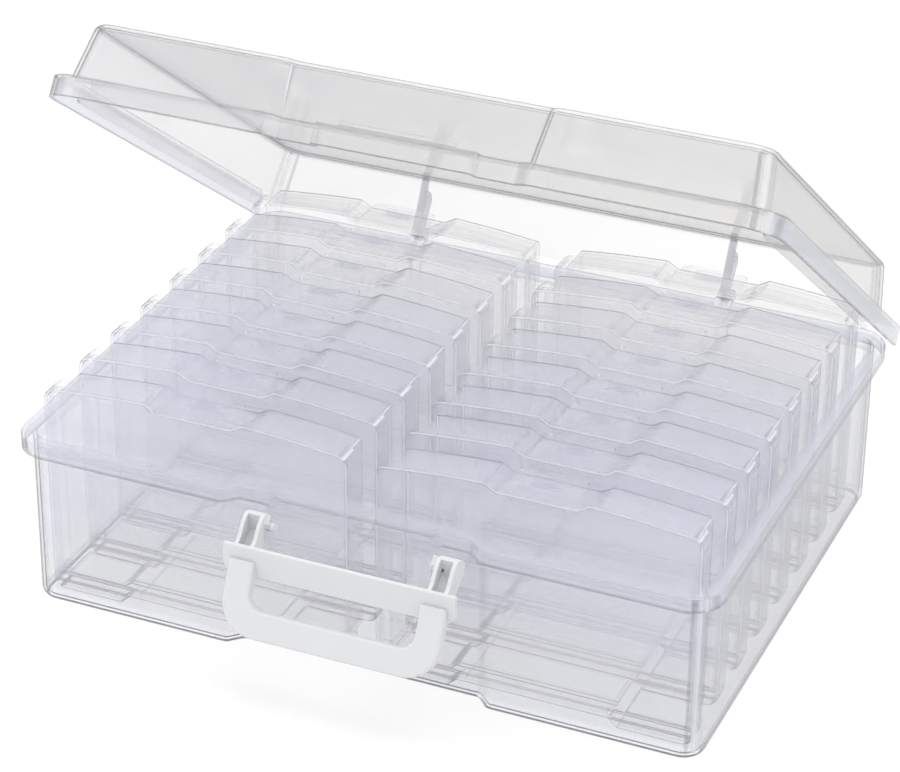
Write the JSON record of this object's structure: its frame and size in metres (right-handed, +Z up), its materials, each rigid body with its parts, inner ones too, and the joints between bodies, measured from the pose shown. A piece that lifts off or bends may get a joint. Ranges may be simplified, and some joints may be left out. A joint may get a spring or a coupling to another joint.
{
  "type": "photo keeper case",
  "caption": "Clear hinged-lid storage tub with a white folding handle, holding two columns of upright snap-shut inner cases for photo prints or craft parts.",
  "frame": {"origin": "on the ground at the middle of the tub's footprint", "axes": "+X right seen from the front, +Y to the hinged back, +Z up"},
  "size_m": [0.3812, 0.3358, 0.2916],
  "materials": {
    "tub_clear": "clear, glossy, moulded",
    "lid_clear": "clear, glossy, moulded",
    "case_cover_clear": "clear, glossy, moulded",
    "case_body_clear": "clear, glossy, moulded",
    "pin_clear": "clear, glossy, moulded",
    "handle_white": "opaque white, satin"
  },
  "bodies": {
    "tub": {"tub": "tub_clear", "lid_hinge_pin_left": "pin_clear", "lid_hinge_pin_right": "pin_clear"},
    "lid": {"lid": "lid_clear"},
    "handle": {"handle": "handle_white", "handle_pin_left": "handle_white", "handle_pin_right": "handle_white"},
    "case_left_1": {"case_body_left_1": "case_body_clear", "case_cover_left_1": "case_cover_clear"},
    "case_left_2": {"case_body_left_2": "case_body_clear", "case_cover_left_2": "case_cover_clear"},
    "case_left_3": {"case_body_left_3": "case_body_clear", "case_cover_left_3": "case_cover_clear"},
    "case_left_4": {"case_body_left_4": "case_body_clear", "case_cover_left_4": "case_cover_clear"},
    "case_left_5": {"case_body_left_5": "case_body_clear", "case_cover_left_5": "case_cover_clear"},
    "case_left_6": {"case_body_left_6": "case_body_clear", "case_cover_left_6": "case_cover_clear"},
    "case_left_7": {"case_body_left_7": "case_body_clear", "case_cover_left_7": "case_cover_clear"},
    "case_left_8": {"case_body_left_8": "case_body_clear", "case_cover_left_8": "case_cover_clear"},
    "case_right_1": {"case_body_right_1": "case_body_clear", "case_cover_right_1": "case_cover_clear"},
    "case_right_2": {"case_body_right_2": "case_body_clear", "case_cover_right_2": "case_cover_clear"},
    "case_right_3": {"case_body_right_3": "case_body_clear", "case_cover_right_3": "case_cover_clear"},
    "case_right_4": {"case_body_right_4": "case_body_clear", "case_cover_right_4": "case_cover_clear"},
    "case_right_5": {"case_body_right_5": "case_body_clear", "case_cover_right_5": "case_cover_clear"},
    "case_right_6": {"case_body_right_6": "case_body_clear", "case_cover_right_6": "case_cover_clear"},
    "case_right_7": {"case_body_right_7": "case_body_clear", "case_cover_right_7": "case_cover_clear"},
    "case_right_8": {"case_body_right_8": "case_body_clear", "case_cover_right_8": "case_cover_clear"}
  },
  "joints": [
    {"name": "lid_hinge", "type": "hinge", "parent": "tub", "child": "lid", "pos_m": [0, 0.1495, 0.097], "axis": [-1, 0, 0], "range_deg": [-36.6, 72]},
    {"name": "handle_swing", "type": "hinge", "parent": "tub", "child": "handle", "pos_m": [0, -0.1385, 0.0775], "axis": [-1, 0, 0], "range_deg": [-30, 64]},
    {"name": "lift_left_1", "type": "slide", "parent": "tub", "child": "case_left_1", "axis": [0, 0, 1], "range_m": [0, 0.128]},
    {"name": "lift_left_2", "type": "slide", "parent": "tub", "child": "case_left_2", "axis": [0, 0, 1], "range_m": [0, 0.128]},
    {"name": "lift_left_3", "type": "slide", "parent": "tub", "child": "case_left_3", "axis": [0, 0, 1], "range_m": [0, 0.128]},
    {"name": "lift_left_4", "type": "slide", "parent": "tub", "child": "case_left_4", "axis": [0, 0, 1], "range_m": [0, 0.12]},
    {"name": "lift_left_5", "type": "slide", "parent": "tub", "child": "case_left_5", "axis": [0, 0, 1], "range_m": [0, 0.096]},
    {"name": "lift_left_6", "type": "slide", "parent": "tub", "child": "case_left_6", "axis": [0, 0, 1], "range_m": [0, 0.071]},
    {"name": "lift_left_7", "type": "slide", "parent": "tub", "child": "case_left_7", "axis": [0, 0, 1], "range_m": [0, 0.047]},
    {"name": "lift_left_8", "type": "slide", "parent": "tub", "child": "case_left_8", "axis": [0, 0, 1], "range_m": [0, 0.022]},
    {"name": "lift_right_1", "type": "slide", "parent": "tub", "child": "case_right_1", "axis": [0, 0, 1], "range_m": [0, 0.128]},
    {"name": "lift_right_2", "type": "slide", "parent": "tub", "child": "case_right_2", "axis": [0, 0, 1], "range_m": [0, 0.128]},
    {"name": "lift_right_3", "type": "slide", "parent": "tub", "child": "case_right_3", "axis": [0, 0, 1], "range_m": [0, 0.128]},
    {"name": "lift_right_4", "type": "slide", "parent": "tub", "child": "case_right_4", "axis": [0, 0, 1], "range_m": [0, 0.12]},
    {"name": "lift_right_5", "type": "slide", "parent": "tub", "child": "case_right_5", "axis": [0, 0, 1], "range_m": [0, 0.096]},
    {"name": "lift_right_6", "type": "slide", "parent": "tub", "child": "case_right_6", "axis": [0, 0, 1], "range_m": [0, 0.071]},
    {"name": "lift_right_7", "type": "slide", "parent": "tub", "child": "case_right_7", "axis": [0, 0, 1], "range_m": [0, 0.047]},
    {"name": "lift_right_8", "type": "slide", "parent": "tub", "child": "case_right_8", "axis": [0, 0, 1], "range_m": [0, 0.022]}
  ]
}
